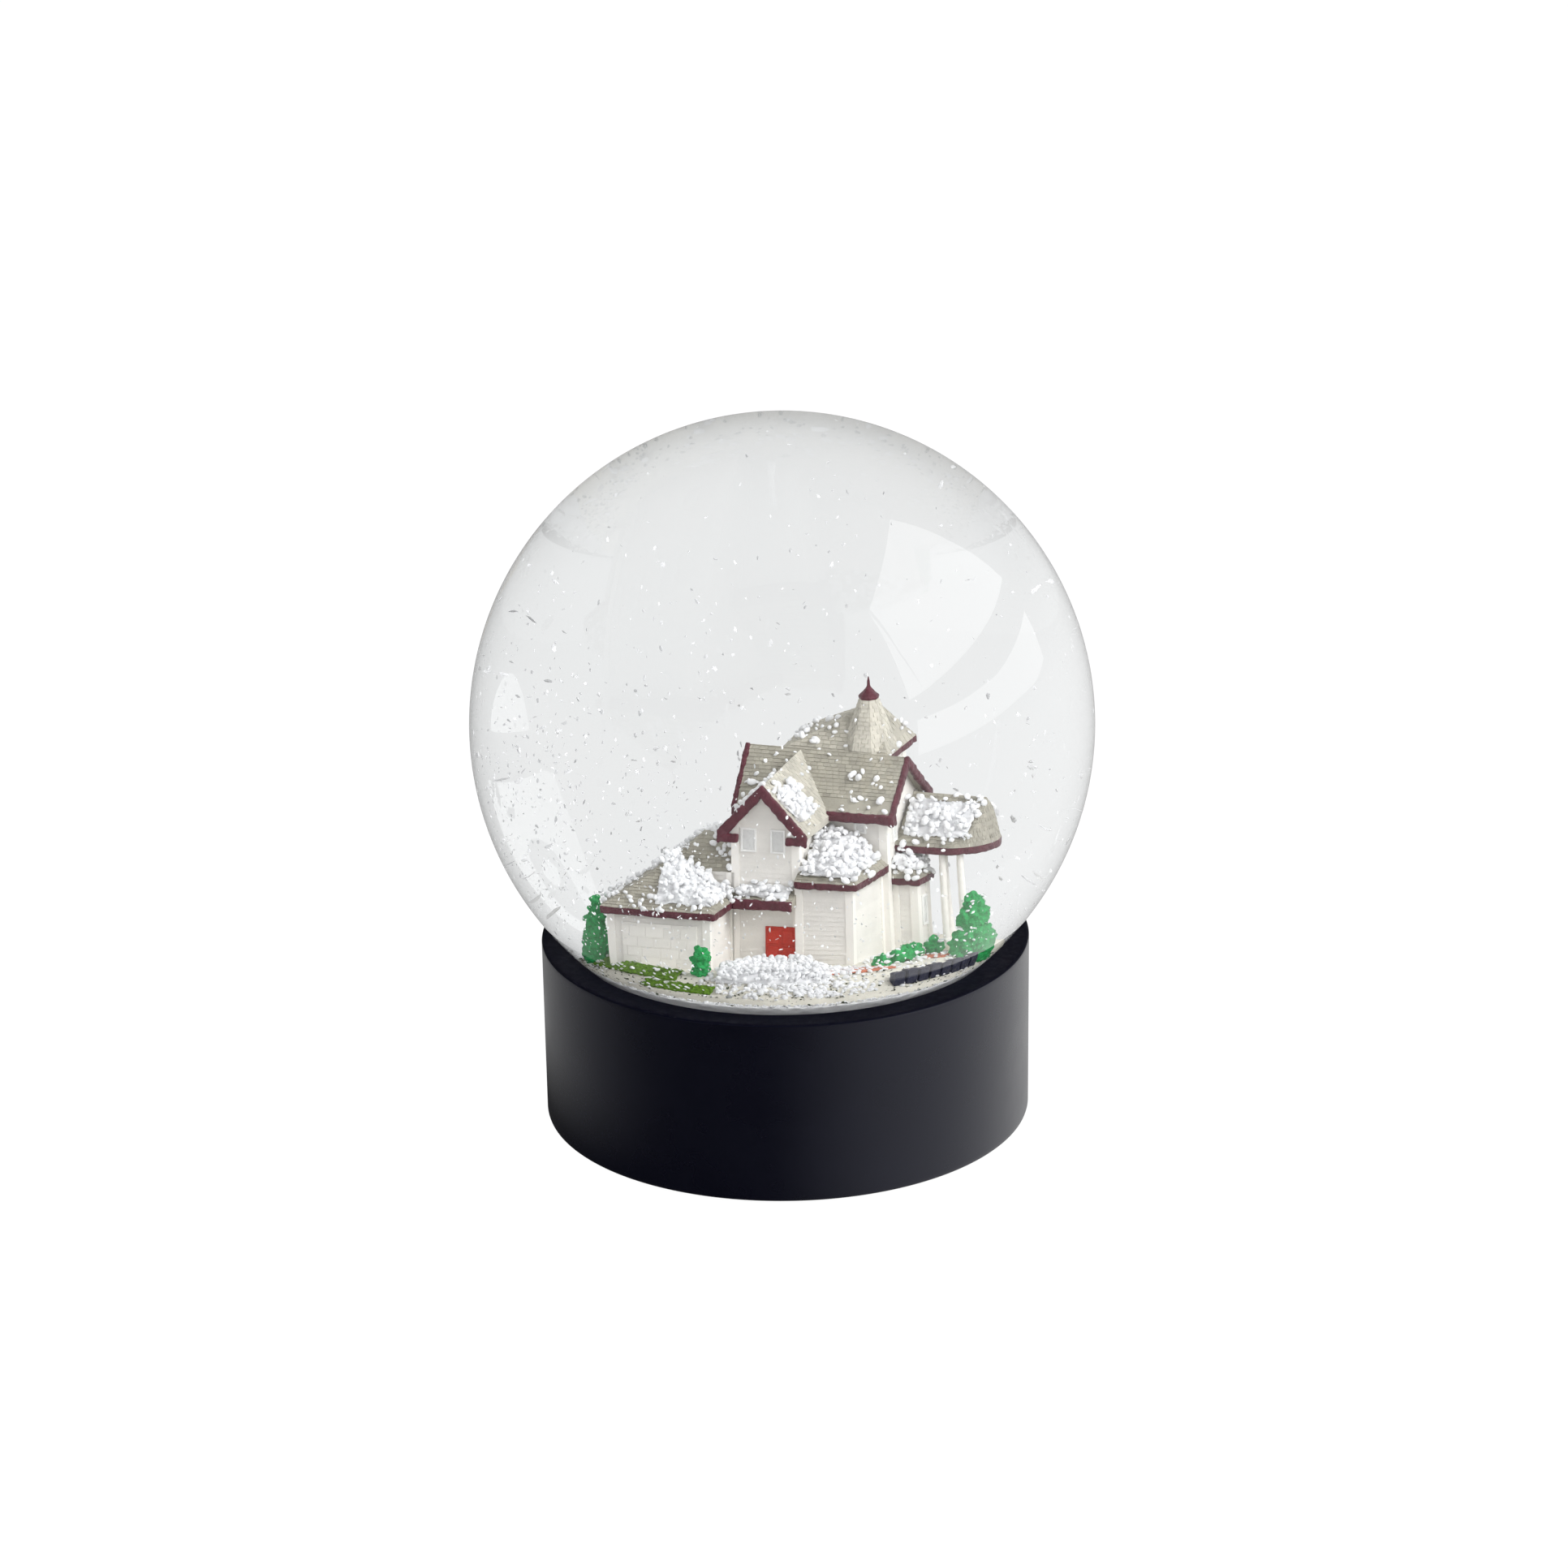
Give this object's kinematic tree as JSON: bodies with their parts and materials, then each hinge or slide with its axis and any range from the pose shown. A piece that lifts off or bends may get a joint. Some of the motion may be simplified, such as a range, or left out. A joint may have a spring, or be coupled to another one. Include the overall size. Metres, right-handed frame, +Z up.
{
  "type": "snow globe",
  "caption": "Snow globe: a clear glass ball of water and loose flakes around a cast village house, standing in a round black base.",
  "frame": {"origin": "centre of the felt underside, where the globe stands on a table", "axes": "+Z up through the ball's centre, -Y towards the front of the scene, +X to the right seen from the front"},
  "size_m": [0.1, 0.1, 0.1159],
  "materials": {
    "base_black": "moulded, satin black",
    "plate_black": "plain black",
    "black_felt": "felt",
    "clear_adhesive": "cast adhesive",
    "globe_glass": "clear blown glass",
    "black_rubber": "moulded",
    "cast_ground": "cast resin, painted off-white",
    "lawn_green": "painted",
    "path_terracotta": "painted",
    "stone_dark": "painted dark grey",
    "foliage_green": "painted",
    "wall_paint": "painted warm white siding",
    "deck_beige": "painted",
    "door_red": "painted",
    "roof_shingle": "painted taupe shingles",
    "roof_cream": "painted cream shingles",
    "trim_burgundy": "painted",
    "frame_white": "painted",
    "pane_grey": "painted",
    "snow_white": "plastic flakes",
    "clear_water": "clear liquid"
  },
  "bodies": {
    "globe": {"base_shell": "base_black", "bottom_plate": "plate_black", "felt_pad": "black_felt", "globe_adhesive": "clear_adhesive", "glass_globe": "globe_glass", "rubber_stopper": "black_rubber", "filler_plug": "black_rubber", "scene_adhesive": "clear_adhesive", "ground_mound": "cast_ground", "lawn_patches": "lawn_green", "garden_path": "path_terracotta", "edging_stones": "stone_dark", "hedges": "foliage_green", "left_tree": "foliage_green", "right_tree": "foliage_green", "small_fir": "foliage_green", "garage_walls": "wall_paint", "garage_door": "wall_paint", "garage_roof": "roof_shingle", "garage_fascia": "trim_burgundy", "link_walls": "wall_paint", "link_roof": "roof_shingle", "entrance_walls": "wall_paint", "front_door": "door_red", "porch_roof": "roof_shingle", "porch_fascia": "trim_burgundy", "front_gable_roof": "roof_cream", "front_gable_bargeboard": "trim_burgundy", "main_walls": "wall_paint", "main_roof": "roof_shingle", "main_bargeboards": "trim_burgundy", "bay_walls": "wall_paint", "bay_roof": "roof_shingle", "bay_fascia": "trim_burgundy", "side_bay_walls": "wall_paint", "side_bay_roof": "roof_shingle", "side_bay_fascia": "trim_burgundy", "veranda_deck": "deck_beige", "veranda_columns": "wall_paint", "veranda_roof": "roof_shingle", "veranda_fascia": "trim_burgundy", "rear_walls": "wall_paint", "rear_roof": "roof_shingle", "rear_fascia": "trim_burgundy", "turret_roof": "roof_cream", "turret_finial": "trim_burgundy", "window_frames": "frame_white", "window_panes": "pane_grey", "ground_snow": "snow_white", "roof_snow": "snow_white"},
    "swirl": {"water": "clear_water", "floating_flakes": "snow_white"}
  },
  "joints": [
    {"name": "snow_swirl", "type": "hinge", "parent": "globe", "child": "swirl", "pos_m": [0, 0, 0.0659], "axis": [0, 0, 1], "continuous": true}
  ]
}
